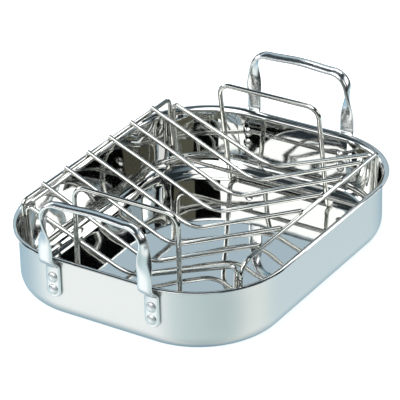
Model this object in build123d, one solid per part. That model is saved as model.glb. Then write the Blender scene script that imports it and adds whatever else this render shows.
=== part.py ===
from build123d import *
import math
import os

# Roasting pan with a V rack, at its real size in millimetres.
# The origin is on the floor under the middle of the pan. X runs across the pan, Y runs from the
# near handle (minus) to the far handle (plus), and Z is up.

# Pan, outside sizes over the lip
pan_length = 406.0
pan_width = 324.0
pan_depth = 77.0
lip_corner_radius = 104.0
lip_overhang = 7.5
lip_droop_angle = 20.0
sheet = 1.5
bottom_radius = 21.0

# Pan handles: a flattened bar, twisted a quarter turn in each leg, with flat pads
grip_height = 147.0
grip_arch = 2.0
grip_width = 14.0
grip_thickness = 6.2
grip_bend = 19.0
leg_spacing = 123.0
leg_width = 17.5
leg_thickness = 4.6
leg_lip_gap = 4.2
leg_shift_top = 78.0
leg_shift_bottom = 63.0
twist_top = 141.0
twist_bottom = 88.0
edge_round_share = 0.48
section_step = 4.0
pad_width = 18.0
pad_thickness = 3.4
pad_bottom = 28.5
pad_top = 66.0
pad_corner = 6.5
pad_edge = 1.0

# Rivets through the pads
rivet_shank = 6.0
rivet_clearance = 0.1
rivet_upper_height = 51.5
rivet_spacing = 14.5
rivet_outer_head = 12.0
rivet_outer_dome = 2.8
rivet_inner_head = 11.5
rivet_inner_dome = 3.0

# Rack wires
frame_wire = 5.0
rail_wire = 5.0
cradle_wire = 4.8
loop_wire = 5.6
weld_sink = 0.3
side_weld_sink = 0.05

# Rack: two side rails on two end frames, with room to the pan's walls
rack_end_gap = 50.0
rack_side_gap = 16.5
leg_lean_angle = 3.0
rail_height = 96.5
rail_drop = 58.0
rail_bend = 6.5
rail_soft_bend = 17.0
frame_corner_height = 93.5
frame_corner_bend = 5.0
frame_slope_angle = 20.8
frame_v_bend = 52.0
frame_foot_bend = 12.0
cross_height = 24.0

# Rack: the V wires of the cradle
cradle_count = 6
cradle_pitch = 42.9
cradle_slope_angle = 23.6
cradle_v_bend = 43.0
cradle_tip = 2.6

# Rack: the loop handles, which also are its feet
loop_width = 129.0
loop_height = 135.5
loop_bend = 14.0
near_loop_lean_angle = 0.0
far_loop_lean_angle = 9.0
foot_reach = 12.0
foot_bend = 5.0
foot_corner = 6.0
rack_floor_gap = 0.3

half = 0.5
quarter_turn = 90.0
overrun = 5.0

# Places that follow from the sizes above
wall_half_x = pan_width * half - lip_overhang
wall_half_y = pan_length * half - lip_overhang
wall_corner = lip_corner_radius - lip_overhang
droop = math.radians(lip_droop_angle)
edge_radius = sheet * half
lip_roll = (lip_overhang - edge_radius * (1 + math.sin(droop))) / (1 + math.sin(droop))
leg_x = leg_spacing * half
straight_run = leg_x - grip_bend
corner_run = straight_run + grip_bend * math.pi * half
leg_out = pan_length * half + leg_lip_gap + leg_thickness * half
frame_y = wall_half_y - sheet - rack_end_gap
rail_x = wall_half_x - sheet - rack_side_gap
lean_rate = math.tan(math.radians(leg_lean_angle))
lean_gap = ((rail_wire + frame_wire) * half - side_weld_sink) / math.cos(math.radians(leg_lean_angle))
frame_x = rail_x - lean_gap - (rail_height - frame_corner_height) * lean_rate
frame_foot_x = rail_x - lean_gap - (rail_height - cross_height) * lean_rate
loop_x = loop_width * half
loop_floor = sheet + rack_floor_gap + loop_wire * half


def arc_points(centre, radius, first, last):
    """Start, middle and end of an arc about a centre, for angles in degrees."""
    spots = []
    for angle in (first, (first + last) * half, last):
        turn = math.radians(angle)
        spots.append((centre[0] + radius * math.cos(turn), centre[1] + radius * math.sin(turn)))
    return spots


def pan_section():
    """The pressed sheet from the edge of the flat floor up to the lip, at the start of a corner."""
    roll_height = pan_depth - lip_roll - sheet
    end_angle = quarter_turn - lip_droop_angle
    roll = (wall_corner + lip_roll, roll_height)
    bend = (wall_corner - bottom_radius, bottom_radius)
    under = arc_points(bend, bottom_radius, -quarter_turn, 0)
    over = arc_points(bend, bottom_radius - sheet, 0, -quarter_turn)
    lip_under = arc_points(roll, lip_roll, 2 * quarter_turn, end_angle)
    lip_over = arc_points(roll, lip_roll + sheet, end_angle, 2 * quarter_turn)
    edge_turn = math.radians(end_angle)
    edge_middle = lip_roll + edge_radius
    edge = (
        roll[0] + edge_middle * math.cos(edge_turn) + edge_radius * math.sin(edge_turn),
        roll[1] + edge_middle * math.sin(edge_turn) - edge_radius * math.cos(edge_turn),
    )
    outline = [
        ThreePointArc(*under),
        Line(under[2], lip_under[0]),
        ThreePointArc(*lip_under),
        ThreePointArc(lip_under[2], edge, lip_over[0]),
        ThreePointArc(*lip_over),
        Line(lip_over[2], over[0]),
        ThreePointArc(*over),
        Line(over[2], under[0]),
    ]
    return Plane.XZ * make_face(outline)


def pan_body():
    """The pan shell: four corners, four straight sides and the flat floor."""
    section = pan_section()
    straight_x = wall_half_x - wall_corner
    straight_y = wall_half_y - wall_corner
    corner = revolve(section, Axis.Z, quarter_turn)
    floor_x = 2 * (wall_half_x - bottom_radius)
    floor_y = 2 * (wall_half_y - bottom_radius)
    floor = RectangleRounded(floor_x, floor_y, wall_corner - bottom_radius)
    shell = extrude(floor, sheet)
    for step, (side_x, side_y) in enumerate(((1, 1), (-1, 1), (-1, -1), (1, -1))):
        run = 2 * (straight_y if step % 2 == 0 else straight_x)
        side = extrude(section, run, dir=(0, -1, 0))
        place = Pos(side_x * straight_x, side_y * straight_y) * Rot(0, 0, step * quarter_turn)
        shell += place * corner
        shell += place * side
    for hole_x, side_y, height in rivet_places():
        hole = Plane((hole_x, side_y * wall_half_y, height), z_dir=(0, -side_y, 0))
        reach = sheet + overrun
        shell -= extrude(hole * Circle(rivet_shank * half + rivet_clearance), reach, both=True)
    return shell


def rivet_places():
    """Across, end and height of each rivet: two in each pad, one above the other."""
    return [
        (side_x * leg_x, side_y, rivet_upper_height - row * rivet_spacing)
        for side_y in (-1, 1)
        for side_x in (-1, 1)
        for row in (0, 1)
    ]


def blend(share):
    """A smooth step from 0 to 1."""
    share = min(max(share, 0), 1)
    return share * share * (3 - 2 * share)


def mix(first, last, share):
    """A value between two others."""
    return first + (last - first) * share


def handle_section(run):
    """One section of the bar's right half, at a distance along it from the middle of the grip."""
    low_pad = rivet_upper_height + rivet_outer_head * half
    pad_out = wall_half_y + pad_thickness * half
    x = leg_x
    out = leg_out
    slope = 0
    angle = quarter_turn
    if run < straight_run:
        x = run
        height = grip_height + grip_arch * (1 - blend(run / straight_run))
        angle = 0
    elif run < corner_run:
        angle = math.degrees((run - straight_run) / grip_bend)
        turn = math.radians(angle)
        x = straight_run + grip_bend * math.sin(turn)
        height = grip_height - grip_bend * (1 - math.cos(turn))
    else:
        height = grip_height - grip_bend - (run - corner_run)
        share = (leg_shift_top - height) / (leg_shift_top - leg_shift_bottom)
        share = min(max(share, 0), 1)
        out = mix(leg_out, pad_out, blend(share))
        slope = (leg_out - pad_out) * 6 * share * (1 - share) / (leg_shift_top - leg_shift_bottom)
        height = max(height, low_pad)
    turn = math.radians(angle)
    along = Vector(math.cos(turn), slope, -math.sin(turn))
    inward = Vector(-math.sin(turn), 0, -math.cos(turn))
    turned = blend((twist_top - height) / (twist_top - twist_bottom)) if angle > 0 else 0
    twist = math.radians(quarter_turn * turned)
    wide = Vector(0, -math.cos(twist), 0) + inward * math.sin(twist)
    width = mix(grip_width, leg_width, turned)
    thinned = blend((leg_out - out) / (leg_out - pad_out))
    thickness = mix(mix(grip_thickness, leg_thickness, turned), pad_thickness, thinned)
    plane = Plane(origin=(x, -out, height), x_dir=wide, z_dir=along)
    return plane * RectangleRounded(width, thickness, thickness * edge_round_share)


def both_halves(right):
    """A bar or wire that is the same left and right, from its right half."""
    return right + mirror(right, about=Plane.YZ)


def pan_handle():
    """The near handle: grip, corners, twisted legs, the shift in under the lip and the pads."""
    run_end = corner_run + grip_height - grip_bend - rivet_upper_height - rivet_outer_head * half
    count = math.ceil(run_end / section_step)
    sections = [handle_section(run_end * place / count) for place in range(count + 1)]
    wall = extrude(RectangleRounded(2 * wall_half_x, 2 * wall_half_y, wall_corner), pan_depth)
    right = loft(sections) + pad_solid() - wall
    bar = both_halves(right)
    for hole_x, side_y, height in rivet_places():
        if side_y > 0:
            continue
        hole = Plane((hole_x, -wall_half_y, height), z_dir=(0, -1, 0))
        reach = pad_thickness + overrun
        bar -= extrude(hole * Circle(rivet_shank * half + rivet_clearance), reach, both=True)
    return bar


def pad_solid():
    """A flat pad with rounded corners, left long at its back to be cut to the pan's wall."""
    height = pad_top - pad_bottom
    middle = (leg_x, -wall_half_y, pad_bottom + height * half)
    face = Plane(middle, x_dir=(1, 0, 0), z_dir=(0, -1, 0))
    outline = face * RectangleRounded(pad_width, height, pad_corner)
    pad = extrude(outline, pad_thickness)
    front = pad.faces().sort_by(Axis.Y)[0]
    pad = fillet(front.edges(), pad_edge)
    return pad + extrude(outline, -overrun)


def dome(diameter, height):
    """A low domed head standing on the XY plane."""
    radius = diameter * half
    ball = (radius * radius + height * height) / (2 * height)
    lean = math.atan2(radius, ball - height) * half
    shoulder = (ball * math.sin(lean), ball * math.cos(lean) - ball + height)
    outline = [
        ThreePointArc((0, height), shoulder, (radius, 0)),
        Line((radius, 0), (0, 0)),
        Line((0, 0), (0, height)),
    ]
    return revolve(Plane.XZ * make_face(outline), Axis.Z)


def rivet(hole_x, side_y, height, wall, bar):
    """One rivet: shank, outer head on the pad and inner head that fits the wall."""
    seat = Plane((hole_x, side_y * (wall_half_y + pad_thickness), height), z_dir=(0, side_y, 0))
    inside = Plane((hole_x, side_y * (wall_half_y - sheet), height), z_dir=(0, -side_y, 0))
    length = pad_thickness + sheet
    shank = extrude(seat * Circle(rivet_shank * half), -length)
    filler = extrude(inside * Circle(rivet_inner_head * half), -sheet * half)
    head = inside * dome(rivet_inner_head, rivet_inner_dome)
    inner = (head + filler) - wall
    body = seat * dome(rivet_outer_head, rivet_outer_dome) + shank + inner
    return (body - bar).solids().sort_by(SortBy.VOLUME)[-1]


def rounded_route(points, bends):
    """Straight runs through the points, joined by tangent arcs of the given radii."""
    spots = [Vector(*point) for point in points]
    edges = []
    last = spots[0]
    for before, corner, after, radius in zip(spots, spots[1:], spots[2:], bends):
        back = (before - corner).normalized()
        onward = (after - corner).normalized()
        turn = math.pi - back.get_angle(onward) * math.pi / (2 * quarter_turn)
        reach = radius * math.tan(turn * half)
        middle = (back + onward).normalized()
        depth = radius / math.cos(turn * half) - radius
        first = corner + back * reach
        final = corner + onward * reach
        edges.append(Line(last, first))
        edges.append(ThreePointArc(first, corner + middle * depth, final))
        last = final
    edges.append(Line(last, spots[-1]))
    return Wire(edges)


def rod(points, bends, diameter):
    """A round wire bent along a route."""
    route = rounded_route(points, bends)
    start = Plane(origin=route @ 0, z_dir=route % 0)
    return sweep(start * Circle(diameter * half), path=route)


def end_frame(y):
    """Closed wire: a V on top, two legs and a level cross wire below."""
    slope = math.radians(frame_slope_angle)
    v_height = frame_corner_height - frame_x * math.tan(slope)
    points = [
        (0, y, cross_height),
        (frame_foot_x, y, cross_height),
        (frame_x, y, frame_corner_height),
        (0, y, v_height),
        (-frame_x, y, frame_corner_height),
        (-frame_foot_x, y, cross_height),
        (0, y, cross_height),
    ]
    bends = [frame_foot_bend, frame_corner_bend, frame_v_bend, frame_corner_bend, frame_foot_bend]
    return closed_rod(points, bends, frame_wire)


def closed_rod(points, bends, diameter):
    """A wire bent to a closed loop whose joint is in the middle of its first straight run."""
    route = rounded_route(points, bends)
    first = route.edges()[0]
    start = Plane(origin=first @ 0, z_dir=first % 0)
    bar = sweep(start * Circle(diameter * half), path=first)
    for edge in route.edges()[1:]:
        start = Plane(origin=edge @ 0, z_dir=edge % 0)
        bar += sweep(start * Circle(diameter * half), path=edge)
    return bar


def side_rail(side, near_bend):
    """A rail whose two ends turn down beside the legs of the end frames."""
    top_x = side * rail_x
    low_x = side * (rail_x - rail_drop * lean_rate)
    bottom = rail_height - rail_drop
    points = [
        (low_x, -frame_y, bottom),
        (top_x, -frame_y, rail_height),
        (top_x, frame_y, rail_height),
        (low_x, frame_y, bottom),
    ]
    return rod(points, [near_bend, rail_bend], rail_wire)


def cradle_v(y):
    """A wire bent to a V that lies on both rails and ends just past them."""
    slope = math.radians(cradle_slope_angle)
    touch = (cradle_wire + rail_wire) * half - weld_sink
    on_rail_x = rail_x - touch * math.sin(slope)
    on_rail_height = rail_height + touch * math.cos(slope)
    tip_x = on_rail_x + cradle_tip * math.cos(slope)
    tip_height = on_rail_height + cradle_tip * math.sin(slope)
    v_height = on_rail_height - on_rail_x * math.tan(slope)
    points = [(-tip_x, y, tip_height), (0, y, v_height), (tip_x, y, tip_height)]
    return rod(points, [cradle_v_bend], cradle_wire)


def rack_loop(side, lean):
    """A loop handle that leans in above its weld, with a foot turned out along the pan's floor."""
    slope = math.radians(frame_slope_angle)
    touch_height = frame_corner_height - (frame_x - loop_x) * math.tan(slope)
    touch_y = frame_y + (frame_wire + loop_wire) * half - weld_sink
    tilt = math.tan(math.radians(lean))
    top_y = side * (touch_y - (loop_height - touch_height) * tilt)
    floor_y = side * (touch_y + (touch_height - loop_floor) * tilt)
    foot_y = floor_y + side * foot_reach
    points = [
        (0, top_y, loop_height),
        (loop_x, top_y, loop_height),
        (loop_x, floor_y, loop_floor),
        (loop_x, foot_y, loop_floor),
        (0, foot_y, loop_floor),
    ]
    bends = [loop_bend, foot_bend, foot_corner]
    return both_halves(rod(points, bends, loop_wire))


def make_parts():
    """Every separate piece under its own name."""
    body = pan_body()
    near_handle = pan_handle()
    handles = {-1: near_handle, 1: near_handle.rotate(Axis.Z, 2 * quarter_turn)}
    parts = {"pan_body": body}
    parts["near_pan_handle"] = handles[-1]
    parts["far_pan_handle"] = handles[1]
    end_names = {-1: "near", 1: "far"}
    side_names = {-1: "left", 1: "right"}
    for hole_x, side_y, height in rivet_places():
        row = "upper" if height == rivet_upper_height else "lower"
        side = side_names[1 if hole_x > 0 else -1]
        name = f"{end_names[side_y]}_{side}_{row}_rivet"
        parts[name] = rivet(hole_x, side_y, height, body, handles[side_y])
    parts["near_end_frame"] = end_frame(-frame_y)
    parts["far_end_frame"] = end_frame(frame_y)
    parts["left_rail"] = side_rail(-1, rail_bend)
    parts["right_rail"] = side_rail(1, rail_soft_bend)
    for place in range(cradle_count):
        y = (place - (cradle_count - 1) * half) * cradle_pitch
        parts[f"cradle_wire_{place + 1}"] = cradle_v(y)
    parts["near_rack_handle"] = rack_loop(-1, near_loop_lean_angle)
    parts["far_rack_handle"] = rack_loop(1, far_loop_lean_angle)
    return parts


os.makedirs("parts", exist_ok=True)
for node, solid in make_parts().items():
    export_step(solid, f"parts/{node}.step")
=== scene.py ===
import math

import bmesh
import bpy
from mathutils import Matrix, Vector


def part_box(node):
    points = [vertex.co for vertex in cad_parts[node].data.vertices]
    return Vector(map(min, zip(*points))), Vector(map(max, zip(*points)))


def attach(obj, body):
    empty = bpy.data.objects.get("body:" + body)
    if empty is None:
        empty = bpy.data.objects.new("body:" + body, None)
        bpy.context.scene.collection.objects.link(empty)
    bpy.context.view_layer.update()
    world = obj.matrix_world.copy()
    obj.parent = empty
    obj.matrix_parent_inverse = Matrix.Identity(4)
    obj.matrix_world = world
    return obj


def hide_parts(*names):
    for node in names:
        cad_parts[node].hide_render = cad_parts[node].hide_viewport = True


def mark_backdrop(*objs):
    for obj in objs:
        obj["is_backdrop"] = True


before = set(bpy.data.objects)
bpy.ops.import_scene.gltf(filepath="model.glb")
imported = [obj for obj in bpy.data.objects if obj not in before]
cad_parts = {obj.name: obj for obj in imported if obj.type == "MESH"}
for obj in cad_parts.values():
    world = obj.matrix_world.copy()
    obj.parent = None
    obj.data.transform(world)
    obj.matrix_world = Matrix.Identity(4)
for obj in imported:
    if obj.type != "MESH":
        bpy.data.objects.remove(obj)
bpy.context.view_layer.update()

# Pan body
# One stainless sheet, deep drawn to a tub with round corners, its edge rolled outwards as a lip.
# It is satin outside and mirror polished inside, so the inside shows the rack and the studio.
mm = 0.001
half = 0.5
quarter = math.radians(90)
sheet = 1.5 * mm
lip_overhang = 7.5 * mm
lip_corner = 104.0 * mm
lip_droop = math.radians(20)
bottom_radius = 21.0 * mm
edge_round = 0.65 * mm
fit_slack = 0.05 * mm
bend_steps = 14
corner_steps = 28
side_steps = 4
floor_ring_share = 0.97
merge_distance = 0.001 * mm
edge_segments = 4
sharp_angle = math.radians(50)

pan_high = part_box("pan_body")[1]
wall_x = pan_high.x - lip_overhang
wall_y = pan_high.y - lip_overhang
wall_corner = lip_corner - lip_overhang
straight_x = wall_x - wall_corner
straight_y = wall_y - wall_corner
edge_radius = sheet * half
lip_roll = (lip_overhang - fit_slack) / (1 + math.sin(lip_droop)) - edge_radius
roll_height = pan_high.z - sheet - lip_roll


def carry(bm, last, angle=0.0, centre=(0, 0, 0), axis=(0, 0, 1), slide=(0, 0, 0), steps=1):
    """Draws the last points or edges on, round an axis or along a slide, and returns the new ones."""
    made = bmesh.ops.spin(
        bm, geom=last, cent=centre, axis=axis, dvec=Vector(slide) / steps,
        angle=angle, steps=steps, use_duplicate=False,
    )
    return made["geom_last"]


def everything(bm):
    """All points, edges and faces of a mesh."""
    return bm.verts[:] + bm.edges[:] + bm.faces[:]


def piece(name, bm, body, finishes, nodes=()):
    """Turns a mesh into a smooth piece that moves with a body and stands for its CAD nodes."""
    mesh = bpy.data.meshes.new(name)
    bm.to_mesh(mesh)
    bm.free()
    mesh.shade_smooth()
    for finish in finishes:
        mesh.materials.append(finish)
    obj = bpy.data.objects.new(name, mesh)
    bpy.context.scene.collection.objects.link(obj)
    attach(obj, body)
    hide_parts(*nodes)
    return obj


def linear(code):
    """An sRGB hex colour as linear light."""
    shares = [int(code[place:place + 2], 16) / 255 for place in (1, 3, 5)]
    light = [s / 12.92 if s <= 0.04045 else ((s + 0.055) / 1.055) ** 2.4 for s in shares]
    return (*light, 1.0)


def node(tree, kind, inputs=None, **settings):
    """Adds a shader node with its settings, and sets or links its inputs."""
    made = tree.nodes.new(kind)
    for name, value in settings.items():
        setattr(made, name, value)
    for socket, value in (inputs or {}).items():
        if isinstance(value, bpy.types.NodeSocket):
            tree.links.new(value, made.inputs[socket])
        else:
            made.inputs[socket].default_value = value
    return made


# How the polish varies: noise values below the low one are smooth, above the high one rough. The
# waves have the spacing of a drawn sheet's own. The grain is drawn coarser than the real one, which
# is about a tenth of a millimetre and too fine to show.
grain_low = 0.3
grain_high = 0.7
wave_detail = 1.0
grain_detail = 2.0
full = 1.0


def steel(name, colour, smooth, rough, wave_size, wave_height, grain_size, grain_height):
    """Stainless steel: its polish varies a little, over slow waves of the sheet and a fine grain."""
    material = bpy.data.materials.new(name)
    material.use_nodes = True
    tree = material.node_tree
    tree.nodes.clear()
    place = node(tree, "ShaderNodeTexCoord").outputs["Object"]
    waves = node(
        tree, "ShaderNodeTexNoise", {"Vector": place, "Scale": 1 / wave_size, "Detail": wave_detail}
    )
    grain = node(
        tree, "ShaderNodeTexNoise", {"Vector": place, "Scale": 1 / grain_size, "Detail": grain_detail}
    )
    polish = node(
        tree, "ShaderNodeMapRange",
        {"Value": grain.outputs["Fac"], "From Min": grain_low, "From Max": grain_high,
         "To Min": smooth, "To Max": rough},
    )
    slow = node(
        tree, "ShaderNodeBump",
        {"Height": waves.outputs["Fac"], "Distance": wave_height, "Strength": full},
    )
    fine = node(
        tree, "ShaderNodeBump",
        {"Height": grain.outputs["Fac"], "Distance": grain_height, "Strength": full,
         "Normal": slow.outputs["Normal"]},
    )
    shader = node(
        tree, "ShaderNodeBsdfPrincipled",
        {"Base Color": linear(colour), "Metallic": full, "Roughness": polish.outputs["Result"],
         "Normal": fine.outputs["Normal"]},
    )
    node(tree, "ShaderNodeOutputMaterial", {"Surface": shader.outputs["BSDF"]})
    return material


# Bead-blasted outside: a soft sheen with no clear image in it. Polished inside: a clear image that
# the slow waves of the drawn sheet bend.
satin_outside = steel(
    "satin_stainless_outside", "#e2e2e0", 0.30, 0.38, 70 * mm, 0.05 * mm, 0.8 * mm, 0.004 * mm
)
polished_inside = steel(
    "mirror_polished_stainless_inside", "#d6d7d5", 0.02, 0.05, 55 * mm, 0.25 * mm, 4 * mm, 0.001 * mm
)

bm = bmesh.new()
bend_centre = (wall_corner - bottom_radius, 0, bottom_radius)
roll_centre = (wall_corner + lip_roll, 0, roll_height)
last = [bm.verts.new((wall_corner - bottom_radius, 0, 0))]
last = carry(bm, last, -quarter, bend_centre, (0, 1, 0), steps=bend_steps)
last = carry(bm, last, slide=(0, 0, roll_height - bottom_radius), steps=side_steps)
last = carry(bm, last, quarter + lip_droop, roll_centre, (0, 1, 0), steps=bend_steps)
droop_way = Vector((math.cos(lip_droop), 0, -math.sin(lip_droop)))
carry(bm, last, slide=droop_way * edge_radius)
profile = bm.verts[:] + bm.edges[:]
far_profile = carry(bm, profile, quarter, steps=corner_steps)
bmesh.ops.translate(bm, vec=(straight_x, straight_y, 0), verts=bm.verts)
carry(bm, profile, slide=(0, -straight_y, 0), steps=side_steps)
carry(bm, far_profile, slide=(-straight_x, 0, 0), steps=side_steps)
for axis in "XY":
    bmesh.ops.mirror(bm, geom=everything(bm), matrix=Matrix(), merge_dist=merge_distance, axis=axis)
rim = [e for e in bm.edges if e.is_boundary and max(v.co.z for v in e.verts) < bottom_radius * half]
ring = bmesh.ops.extrude_edge_only(bm, edges=rim)["geom"]
ring_points = [part for part in ring if isinstance(part, bmesh.types.BMVert)]
ring_edges = [part for part in ring if isinstance(part, bmesh.types.BMEdge)]
bmesh.ops.scale(bm, vec=(floor_ring_share, floor_ring_share, 1), verts=ring_points)
bmesh.ops.edgeloop_fill(bm, edges=ring_edges)
bmesh.ops.recalc_face_normals(bm, faces=bm.faces)
bmesh.ops.reverse_faces(bm, faces=bm.faces)
pan = piece("pan_shell", bm, "pan", [satin_outside, polished_inside], ["pan_body"])
wall = pan.modifiers.new("sheet", "SOLIDIFY")
wall.thickness = sheet
wall.offset = -1
wall.use_even_offset = True
wall.material_offset = 1
wall.material_offset_rim = 1
soften = pan.modifiers.new("rounded_edge", "BEVEL")
soften.width = edge_round
soften.segments = edge_segments
soften.limit_method = "ANGLE"
soften.angle_limit = sharp_angle


# Pan handles
# Each is one forged stainless bar: a flat grip that leans in a little, two legs that twist a
# quarter turn, a step in under the lip, and two flat pads that lie against the wall.
grip_arch = 2.0 * mm
grip_width = 14.0 * mm
grip_thickness = 6.2 * mm
grip_bend = 19.0 * mm
grip_tilt = math.radians(7)
grip_drop = 0.15 * mm
leg_spacing = 123.0 * mm
leg_width = 17.5 * mm
leg_thickness = 4.6 * mm
leg_lip_gap = 4.15 * mm
shift_top = 78.0 * mm
shift_bottom = 63.0 * mm
twist_top = 141.0 * mm
twist_bottom = 88.0 * mm
pad_width = 18.0 * mm
pad_thickness = 3.4 * mm
pad_corner = 6.5 * mm
bar_sides = 32
bar_fullness = 0.88
station_step = 2.5 * mm
pad_end_steps = 9

handle_low, handle_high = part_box("near_pan_handle")
pad_bottom = handle_low.z
grip_height = handle_high.z - grip_thickness * half - grip_arch - grip_drop
leg_x = leg_spacing * half
leg_out = pan_high.y + leg_lip_gap + leg_thickness * half
pad_out = wall_y + pad_thickness * half
straight_run = leg_x - grip_bend
corner_run = straight_run + grip_bend * quarter
low_run = corner_run + grip_height - grip_bend - shift_bottom


def blend(share):
    """A smooth step from 0 to 1."""
    share = min(max(share, 0), 1)
    return share * share * (3 - 2 * share)


def mix(first, last, share):
    """A value between two others."""
    return first + (last - first) * share


def bar_matrix(run):
    """Place, turn and size of the right half's section, at a run from the grip's middle."""
    x, out, slope, angle, narrow = leg_x, leg_out, 0, quarter, 1
    if run < straight_run:
        x, angle = run, 0
        height = grip_height + grip_arch * (1 - blend(run / straight_run))
    elif run < corner_run:
        angle = (run - straight_run) / grip_bend
        x = straight_run + grip_bend * math.sin(angle)
        height = grip_height - grip_bend * (1 - math.cos(angle))
    else:
        height = grip_height - grip_bend - (run - corner_run)
        share = min(max((shift_top - height) / (shift_top - shift_bottom), 0), 1)
        out = mix(leg_out, pad_out, blend(share))
        step_slope = 6 * share * (1 - share)
        slope = (leg_out - pad_out) * step_slope / (shift_top - shift_bottom)
        into_end = max(pad_bottom + pad_corner - height, 0)
        narrow = pad_corner - math.sqrt(max(pad_corner ** 2 - into_end ** 2, 0))
        narrow = 1 - 2 * narrow / pad_width
    turned = blend((twist_top - height) / (twist_top - twist_bottom)) if angle > 0 else 0
    twist = mix(-grip_tilt, quarter, turned)
    along = Vector((math.cos(angle), slope, -math.sin(angle))).normalized()
    inward = Vector((-math.sin(angle), 0, -math.cos(angle)))
    wide = Vector((0, -math.cos(twist), 0)) + inward * math.sin(twist)
    wide = (wide - along * wide.dot(along)).normalized()
    thin = along.cross(wide)
    thinned = blend((leg_out - out) / (leg_out - pad_out))
    width = mix(mix(grip_width, leg_width, turned), pad_width, thinned) * narrow
    thickness = mix(mix(grip_thickness, leg_thickness, turned), pad_thickness, thinned)
    place = Matrix.Translation((x, -out, height))
    turn = Matrix((wide, thin, along)).transposed().to_4x4()
    return place @ turn @ Matrix.Diagonal((width, thickness, 1, 1))


def pan_handle():
    """The near handle: a rounded bar section drawn along its right half, and mirrored."""
    bm = bmesh.new()
    bmesh.ops.create_circle(bm, cap_ends=False, segments=bar_sides, radius=half)
    for point in bm.verts:
        for way in (0, 1):
            reach = abs(point.co[way] / half) ** bar_fullness * half
            point.co[way] = math.copysign(reach, point.co[way])
    count = math.ceil(low_run / station_step)
    stops = [low_run * step / count for step in range(count + 1)]
    end_run = low_run + shift_bottom - pad_bottom
    stops.append(end_run - pad_corner)
    for step in range(1, pad_end_steps):
        stops.append(end_run - pad_corner * (1 - math.sin(quarter * step / pad_end_steps)))
    before = bar_matrix(stops[0])
    bmesh.ops.transform(bm, matrix=before, verts=bm.verts)
    last = bm.edges[:]
    for run in stops[1:]:
        after = bar_matrix(run)
        made = bmesh.ops.extrude_edge_only(bm, edges=last)["geom"]
        points = [part for part in made if isinstance(part, bmesh.types.BMVert)]
        last = [part for part in made if isinstance(part, bmesh.types.BMEdge)]
        bmesh.ops.transform(bm, matrix=after @ before.inverted(), verts=points)
        before = after
    bmesh.ops.edgeloop_fill(bm, edges=last)
    bmesh.ops.mirror(bm, geom=everything(bm), matrix=Matrix(), merge_dist=merge_distance, axis="X")
    bmesh.ops.recalc_face_normals(bm, faces=bm.faces)
    return bm


# The handles' finish: tumbled and lightly polished, so it is brighter than the wall but still soft.
tumbled = steel(
    "tumbled_stainless_handle", "#e6e8e8", 0.17, 0.23, 25 * mm, 0.05 * mm, 2.5 * mm, 0.003 * mm
)
for end, turn in (("near", 0), ("far", 2 * quarter)):
    bm = pan_handle()
    bmesh.ops.rotate(bm, cent=(0, 0, 0), matrix=Matrix.Rotation(turn, 3, "Z"), verts=bm.verts)
    piece(f"{end}_pan_grip", bm, "pan", [tumbled], [f"{end}_pan_handle"])


# Rivets
# Two solid stainless rivets hold each pad: a high domed head outside and a low one inside.
outer_dome = 2.8 * mm
inner_head = 11.5 * mm
inner_dome = 3.0 * mm
shank = 6.0 * mm
head_skirt = 0.35 * mm
dome_steps = 8
turn_steps = 36


def dome_angle(radius, height):
    """The ball of a domed head: its radius, and the angle from its top to its edge."""
    ball = (radius * radius + height * height) / (2 * height)
    return ball, math.atan2(radius, ball - height)


def rivet(centre, side, head):
    """A rivet on an axis along Y: its outline is drawn from one top to the other and spun."""
    bm = bmesh.new()
    ball, angle = dome_angle(head * half, outer_dome)
    seat = pad_thickness
    outer_top = seat + outer_dome + head_skirt
    last = [bm.verts.new((0, 0, outer_top))]
    last = carry(bm, last, angle, (0, 0, outer_top - ball), (0, 1, 0), steps=dome_steps)
    last = carry(bm, last, slide=(0, 0, -head_skirt))
    last = carry(bm, last, slide=((shank - head) * half, 0, 0))
    last = carry(bm, last, slide=(0, 0, -seat - sheet * half))
    last = carry(bm, last, slide=((inner_head - shank) * half, 0, 0))
    last = carry(bm, last, slide=(0, 0, -sheet * half - head_skirt))
    ball, angle = dome_angle(inner_head * half, inner_dome)
    inner_top = -sheet - head_skirt - inner_dome
    carry(bm, last, angle, (0, 0, inner_top + ball), (0, 1, 0), steps=dome_steps)
    outline = bm.verts[:] + bm.edges[:]
    bmesh.ops.spin(
        bm, geom=outline, cent=(0, 0, 0), axis=(0, 0, 1), dvec=(0, 0, 0),
        angle=4 * quarter, steps=turn_steps, use_merge=True, use_duplicate=False,
    )
    bmesh.ops.remove_doubles(bm, verts=bm.verts, dist=merge_distance)
    bmesh.ops.recalc_face_normals(bm, faces=bm.faces)
    for face in bm.faces:
        face.material_index = int(face.calc_center_median().z < -sheet * half)
    stand = Matrix.Rotation(-side * quarter, 4, "X")
    place = Matrix.Translation((centre.x, side * wall_y, centre.z))
    bmesh.ops.transform(bm, matrix=place @ stand, verts=bm.verts)
    return bm


# The rivets' finish: tumbled like the handles but blunter, so each head has one soft highlight.
rivet_steel = steel(
    "tumbled_stainless_rivet", "#f2f2f1", 0.36, 0.44, 12 * mm, 0.02 * mm, 0.8 * mm, 0.002 * mm
)
for name in sorted(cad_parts):
    if name.endswith("_rivet"):
        low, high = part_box(name)
        side = 1 if low.y > 0 else -1
        bm = rivet((low + high) * half, side, high.x - low.x)
        finishes = [rivet_steel, polished_inside]
        piece(name.replace("_rivet", "_stud"), bm, "pan", finishes, [name])


# End frames of the rack
# Each is one round steel wire, bent to a closed loop and welded to itself: a V on top for the first
# or last cradle line, two legs, and a level cross wire below.
frame_slope = math.radians(20.8)
frame_corner_height = 93.5 * mm
frame_corner_bend = 5.0 * mm
frame_v_bend = 52.0 * mm
frame_foot_bend = 12.0 * mm
leg_lean = math.tan(math.radians(3))
wire_sides = 20
bend_step_angle = math.radians(7)
least_bend_steps = 3
weld_merge_distance = 0.01 * mm
wire_end_round_share = 0.12
wire_end_steps = 2


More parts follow.
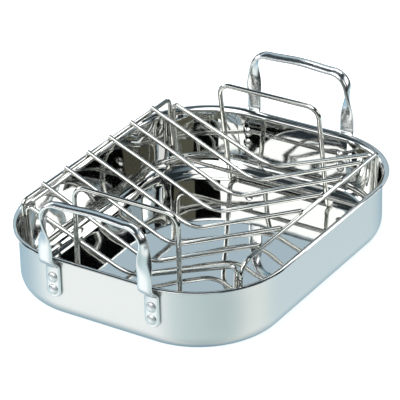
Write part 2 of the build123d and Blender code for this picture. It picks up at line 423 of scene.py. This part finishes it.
def ring_of(bm, point, along, diameter):
    """A ring of edges round a wire's line."""
    bmesh.ops.create_circle(bm, cap_ends=False, segments=wire_sides, radius=diameter * half)
    turn = along.to_track_quat("Z", "Y").to_matrix().to_4x4()
    bmesh.ops.transform(bm, matrix=Matrix.Translation(point) @ turn, verts=bm.verts)
    return bm.verts[:] + bm.edges[:]


def bent_wire(points, bends, diameter, closed=False):
    """A round wire, drawn straight from point to point and spun round the centre of each bend."""
    points = [Vector(point) for point in points]
    bm = bmesh.new()
    last = ring_of(bm, points[0], points[1] - points[0], diameter)
    first_edges = [part for part in last if isinstance(part, bmesh.types.BMEdge)]
    spot = points[0]
    for before, corner, after, radius in zip(points, points[1:], points[2:], bends):
        come = (corner - before).normalized()
        leave = (after - corner).normalized()
        turn = come.angle(leave)
        reach = radius * math.tan(turn * half)
        start = corner - come * reach
        centre = corner + (leave - come).normalized() * radius / math.cos(turn * half)
        last = carry(bm, last, slide=start - spot)
        steps = max(math.ceil(turn / bend_step_angle), least_bend_steps)
        last = carry(bm, last, turn, centre, come.cross(leave).normalized(), steps=steps)
        spot = corner + leave * reach
    last = carry(bm, last, slide=points[-1] - spot)
    if closed:
        bmesh.ops.remove_doubles(bm, verts=bm.verts, dist=weld_merge_distance)
    else:
        last_edges = [part for part in last if isinstance(part, bmesh.types.BMEdge)]
        bmesh.ops.edgeloop_fill(bm, edges=first_edges)
        bmesh.ops.edgeloop_fill(bm, edges=last_edges)
        bmesh.ops.bevel(
            bm, geom=first_edges + last_edges, offset=diameter * wire_end_round_share, affect="EDGES",
            segments=wire_end_steps, profile=0.5, material=-1,
        )
    bmesh.ops.recalc_face_normals(bm, faces=bm.faces)
    return bm


# Bright plated wire: nearly a mirror, so thin black and white lines run along each wire.
rack_wire = steel(
    "bright_plated_rack_wire", "#d6d6d1", 0.03, 0.07, 30 * mm, 0.03 * mm, 2 * mm, 0.001 * mm
)
for name in ("near_end_frame", "far_end_frame"):
    low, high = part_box(name)
    frame_wire = high.y - low.y
    y = (low.y + high.y) * half
    cross_height = low.z + frame_wire * half
    frame_x = high.x - frame_wire * half + (frame_corner_bend * leg_lean)
    foot_x = frame_x - (frame_corner_height - cross_height) * leg_lean
    v_height = frame_corner_height - frame_x * math.tan(frame_slope)
    points = [
        (0, y, cross_height),
        (foot_x, y, cross_height),
        (frame_x, y, frame_corner_height),
        (0, y, v_height),
        (-frame_x, y, frame_corner_height),
        (-foot_x, y, cross_height),
        (0, y, cross_height),
    ]
    bends = [frame_foot_bend, frame_corner_bend, frame_v_bend, frame_corner_bend, frame_foot_bend]
    bm = bent_wire(points, bends, frame_wire, closed=True)
    piece(name.replace("_frame", "_wire"), bm, "rack", [rack_wire], [name])


# Side rails of the rack
# A straight wire of the frames' own size carries the cradle on each side. Its ends are bent down
# and welded along the outside of the frames' legs; the right one's near bend is the softest.
rail_bend = 6.5 * mm
rail_soft_bend = 17.0 * mm
for name, side, near_bend in (("left_rail", -1, rail_bend), ("right_rail", 1, rail_soft_bend)):
    low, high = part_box(name)
    rail_top = high.z - frame_wire * half
    rail_x = max(abs(low.x), abs(high.x)) - frame_wire * half
    rail_y = high.y - frame_wire * half
    low_z = low.z + frame_wire * half * leg_lean
    low_x = rail_x - (rail_top - low_z) * leg_lean
    points = [
        (side * low_x, -rail_y, low_z),
        (side * rail_x, -rail_y, rail_top),
        (side * rail_x, rail_y, rail_top),
        (side * low_x, rail_y, low_z),
    ]
    bm = bent_wire(points, [near_bend, rail_bend], frame_wire)
    piece(name + "_wire", bm, "rack", [rack_wire], [name])


# Cradle wires of the rack
# Thinner wires, each bent to a V and cut off just past the rails they are welded on.
cradle_slope = math.radians(23.6)
cradle_v_bend = 43.0 * mm
for name in sorted(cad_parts):
    if name.startswith("cradle_wire"):
        low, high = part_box(name)
        cradle_wire = high.y - low.y
        y = (low.y + high.y) * half
        tip_x = high.x - cradle_wire * half * math.sin(cradle_slope)
        tip_z = high.z - cradle_wire * half * math.cos(cradle_slope)
        v_height = tip_z - tip_x * math.tan(cradle_slope)
        points = [(-tip_x, y, tip_z), (0, y, v_height), (tip_x, y, tip_z)]
        bm = bent_wire(points, [cradle_v_bend], cradle_wire)
        piece(name.replace("_wire", "_v"), bm, "rack", [rack_wire], [name])


# Loop handles of the rack
# The thickest wire, bent to a closed loop that stands on the pan's floor: a hand hold on top, two
# legs welded to the end frame, and a foot turned outwards. The far loop leans in a little.
loop_spacing = 129.0 * mm
loop_wire = 5.6 * mm
loop_bend = 14.0 * mm
foot_reach = 12.0 * mm
foot_bend = 5.0 * mm
foot_corner = 6.0 * mm
for name, side, lean in (("near_rack_handle", -1, 0), ("far_rack_handle", 1, math.radians(9))):
    low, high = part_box(name)
    loop_x = loop_spacing * half
    top_z = high.z - loop_wire * half
    floor_z = low.z + loop_wire * half
    foot_y = max(abs(low.y), abs(high.y)) - loop_wire * half
    floor_y = foot_y - foot_reach
    top_y = floor_y - (top_z - floor_z) * math.tan(lean)
    points = [
        (0, side * top_y, top_z),
        (loop_x, side * top_y, top_z),
        (loop_x, side * floor_y, floor_z),
        (loop_x, side * foot_y, floor_z),
        (-loop_x, side * foot_y, floor_z),
        (-loop_x, side * floor_y, floor_z),
        (-loop_x, side * top_y, top_z),
        (0, side * top_y, top_z),
    ]
    bends = [loop_bend, foot_bend, foot_corner, foot_corner, foot_bend, loop_bend]
    bm = bent_wire(points, bends, loop_wire, closed=True)
    piece(name.replace("_handle", "_loop"), bm, "rack", [rack_wire], [name])


# Studio
# A plain white floor under soft light: a wide softbox overhead and one in front, with dark panels
# and white strips between them that give the polished steel its hard lines.
floor_size = 30.0
paper_roughness = 0.9
paper_gloss = 0.1
paper_glow = 0.65
floor_mesh = bpy.data.meshes.new("floor")
bm = bmesh.new()
bmesh.ops.create_grid(bm, x_segments=1, y_segments=1, size=floor_size * half)
bm.to_mesh(floor_mesh)
bm.free()
floor = bpy.data.objects.new("floor", floor_mesh)
bpy.context.scene.collection.objects.link(floor)
floor.visible_glossy = False

# Matt white paper, which glows a little so that it stays plain and pale.
paper = bpy.data.materials.new("matt_white_paper")
paper.use_nodes = True
paper_shader = paper.node_tree.nodes["Principled BSDF"]
paper_shader.inputs["Base Color"].default_value = linear("#f4f4f4")
paper_shader.inputs["Roughness"].default_value = paper_roughness
paper_shader.inputs["Specular IOR Level"].default_value = paper_gloss
paper_shader.inputs["Emission Color"].default_value = linear("#ffffff")
paper_shader.inputs["Emission Strength"].default_value = paper_glow
floor_mesh.materials.append(paper)


def card(name, round_angle, height_angle, width, height, colour, strength):
    """A flat card that only shows in reflections, at angles from the far side and from the floor."""
    way = Vector((0, 1, 0))
    way.rotate(Matrix.Rotation(math.radians(height_angle), 3, "X"))
    way.rotate(Matrix.Rotation(-math.radians(round_angle), 3, "Z"))
    bm = bmesh.new()
    bmesh.ops.create_grid(bm, x_segments=1, y_segments=1, size=half)
    turn = (-way).to_track_quat("Z", "Y").to_matrix().to_4x4()
    spread = [2 * card_distance * math.tan(math.radians(angle) * half) for angle in (width, height)]
    size = Matrix.Diagonal((*spread, 1, 1))
    place = Matrix.Translation(card_middle + way * card_distance)
    bmesh.ops.transform(bm, matrix=place @ turn @ size, verts=bm.verts)
    mesh = bpy.data.meshes.new(name)
    bm.to_mesh(mesh)
    bm.free()
    material = bpy.data.materials.new(name)
    material.use_nodes = True
    tree = material.node_tree
    tree.nodes.clear()
    glow = node(tree, "ShaderNodeEmission", {"Color": linear(colour), "Strength": strength})
    node(tree, "ShaderNodeOutputMaterial", {"Surface": glow.outputs["Emission"]})
    mesh.materials.append(material)
    obj = bpy.data.objects.new(name, mesh)
    bpy.context.scene.collection.objects.link(obj)
    for ray in ("camera", "diffuse", "shadow", "transmission"):
        setattr(obj, f"visible_{ray}", False)
    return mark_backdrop(obj)


# Each card: its angle round the object, its height angle, its width and height as angles, its
# colour and its strength.
card_middle = Vector((0, 0, 0.05))
card_distance = 0.9
card("black_panel_by_camera", 145, 34, 40, 22, "#060605", 1.0)
card("olive_panel_by_camera", 148, 23, 44, 5, "#7d8070", 1.0)
card("bronze_panel_right", 107, 31, 34, 22, "#6f6d5f", 1.0)
card("black_strip_right", 87, 30, 5, 20, "#101110", 1.0)
card("white_strip_right", 73, 27, 13, 26, "#ffffff", 1.5)
card("black_strip_far_right", 57, 28, 10, 24, "#0c0d0e", 1.0)
card("white_panel_far_right", 38, 24, 21, 10, "#ffffff", 3.5)
card("white_panel_low_right", 42, 14, 14, 9, "#ffffff", 3.5)
card("dark_strip_low_right", 24, 21, 18, 8, "#2b2c2a", 1.0)
card("black_panel_far_side", 18, 33, 24, 8, "#060607", 1.0)
card("white_strip_far_side", 5, 25, 4, 14, "#ffffff", 1.5)
card("white_strip_behind", -2, 41, 34, 7, "#ffffff", 3.2)
card("white_softbox_front", -164, 32.5, 56, 14.5, "#ffffff", 2.2)
card("blue_panel_front", -142, 20, 22, 10, "#39434c", 1.0)
card("white_strip_left", -125, 19, 9, 16, "#ffffff", 3.0)
card("dark_strip_left", -114, 22, 11, 20, "#1d2023", 1.0)
card("white_panel_left", -81, 22, 50, 16, "#ffffff", 3.4)

world = bpy.data.worlds.new("studio")
bpy.context.scene.world = world
world.use_nodes = True
sky = world.node_tree
sky.nodes.clear()
direction = node(sky, "ShaderNodeTexCoord").outputs["Generated"]
apart = node(sky, "ShaderNodeSeparateXYZ", {"Vector": direction})
height = apart.outputs["Z"]
turned = node(
    sky, "ShaderNodeMath", {0: apart.outputs["X"], 1: apart.outputs["Y"]}, operation="ARCTAN2"
)
round_share = node(
    sky, "ShaderNodeMapRange",
    {"Value": turned.outputs["Value"], "From Min": -math.pi, "From Max": math.pi},
)

# The studio's upper half takes its colour from the height: a dark room with one pale band. The
# lower half takes it from the angle round the pan: the pale surroundings that the satin side shows.
above_colours = (
    (0.0, "#15181a"), (0.22, "#1f2427"), (0.34, "#8897a0"), (0.54, "#8897a0"), (0.62, "#22292d"),
    (0.9, "#22292d"), (1.0, "#66737b"),
)
below_colours = (
    (0.0, "#bccccf"), (0.04, "#d5dedf"), (0.08, "#eef2f2"), (0.13, "#eef2f2"), (0.18, "#c6d6dc"),
    (0.24, "#a4bcc8"), (0.34, "#92afbe"), (0.41, "#769bb0"), (0.48, "#8ca9b8"), (0.55, "#b6c9d1"),
    (0.60, "#c6d5da"), (0.65, "#cbd8da"), (0.69, "#e2e8e6"), (0.73, "#dfe6e4"), (0.80, "#b3c5c7"),
    (1.0, "#bccccf"),
)
colours = []
for share, stops in ((height, above_colours), (round_share.outputs["Result"], below_colours)):
    made = node(sky, "ShaderNodeValToRGB", {"Fac": share})
    ramp = made.color_ramp
    while len(ramp.elements) < len(stops):
        ramp.elements.new(1.0)
    for stop, (place, colour) in zip(ramp.elements, stops):
        stop.position = place
        stop.color = linear(colour)
    colours.append(made.outputs["Color"])

# Their strengths: the lower half is dimmer towards straight down.
above_strength = 2.2
steep_height = -0.95
steep_strength = 1.05
shallow_height = -0.55
shallow_strength = 1.45
below_strength = node(
    sky, "ShaderNodeMapRange",
    {"Value": height, "From Min": steep_height, "From Max": shallow_height,
     "To Min": steep_strength, "To Max": shallow_strength},
).outputs["Result"]
halves = []
for colour, strength in zip(colours, (above_strength, below_strength)):
    made = node(sky, "ShaderNodeVectorMath", {0: colour, "Scale": strength}, operation="SCALE")
    halves.append(made.outputs["Vector"])
above, below = halves

# A round softbox overhead, soft at its edge.
softbox_way = Vector((0.05, -0.52, 0.85)).normalized()
softbox_edge = math.radians(31)
softbox_core = math.radians(25)
softbox_strength = 2.9
nearness = node(
    sky, "ShaderNodeVectorMath", {0: direction, 1: softbox_way}, operation="DOT_PRODUCT"
).outputs["Value"]

# The two halves fade into each other below the level, and higher up in front.
front_way = (-0.55, -0.84, 0)
front_start = 0.2
front_end = 0.8
front_shift = -0.25
fade_low = -0.36
fade_high = -0.20
front_share = node(
    sky, "ShaderNodeVectorMath", {0: direction, 1: front_way}, operation="DOT_PRODUCT"
).outputs["Value"]
shift = node(
    sky, "ShaderNodeMapRange",
    {"Value": front_share, "From Min": front_start, "From Max": front_end,
     "To Min": 0.0, "To Max": front_shift},
).outputs["Result"]
horizon = node(sky, "ShaderNodeMath", {0: height, 1: shift}, operation="ADD").outputs["Value"]

# Light from below gives way to light from above, and that to the softbox.
softbox_light = (softbox_strength, softbox_strength, softbox_strength)
softbox_cosines = (math.cos(softbox_edge), math.cos(softbox_core))
light = below
for share, (first, last), next_light in (
    (horizon, (fade_low, fade_high), above),
    (nearness, softbox_cosines, softbox_light),
):
    step = node(
        sky, "ShaderNodeMapRange", {"Value": share, "From Min": first, "From Max": last},
        interpolation_type="SMOOTHSTEP",
    ).outputs["Result"]
    light = node(
        sky, "ShaderNodeMix", {"Factor": step, 4: light, 5: next_light}, data_type="VECTOR"
    ).outputs[1]
glow = node(sky, "ShaderNodeBackground", {"Color": light, "Strength": full})
node(sky, "ShaderNodeOutputWorld", {"Surface": glow.outputs["Background"]})

# Camera, at the photograph's angle
camera_azimuth = math.radians(32.846)
camera_elevation = math.radians(28.064)
camera_roll = math.radians(-1.312)
camera_distance = 2.737
camera_lens = 225.82
camera_sensor = 36.0
aim_height = 60.0 * mm
aim_right = -3.637 * mm
aim_up = 6.900 * mm
back = Vector((
    math.sin(camera_azimuth) * math.cos(camera_elevation),
    -math.cos(camera_azimuth) * math.cos(camera_elevation),
    math.sin(camera_elevation),
))
right = Vector((math.cos(camera_azimuth), math.sin(camera_azimuth), 0))
up = back.cross(right)
aim = Vector((0, 0, aim_height)) + right * aim_right + up * aim_up
camera_data = bpy.data.cameras.new("camera")
camera_data.lens = camera_lens
camera_data.sensor_width = camera_sensor
camera = bpy.data.objects.new("camera", camera_data)
turn = Matrix((right, up, back)).transposed() @ Matrix.Rotation(camera_roll, 3, "Z")
camera.matrix_world = Matrix.Translation(aim + back * camera_distance) @ turn.to_4x4()
bpy.context.scene.collection.objects.link(camera)
bpy.context.scene.camera = camera
bpy.context.scene.view_settings.view_transform = "Standard"
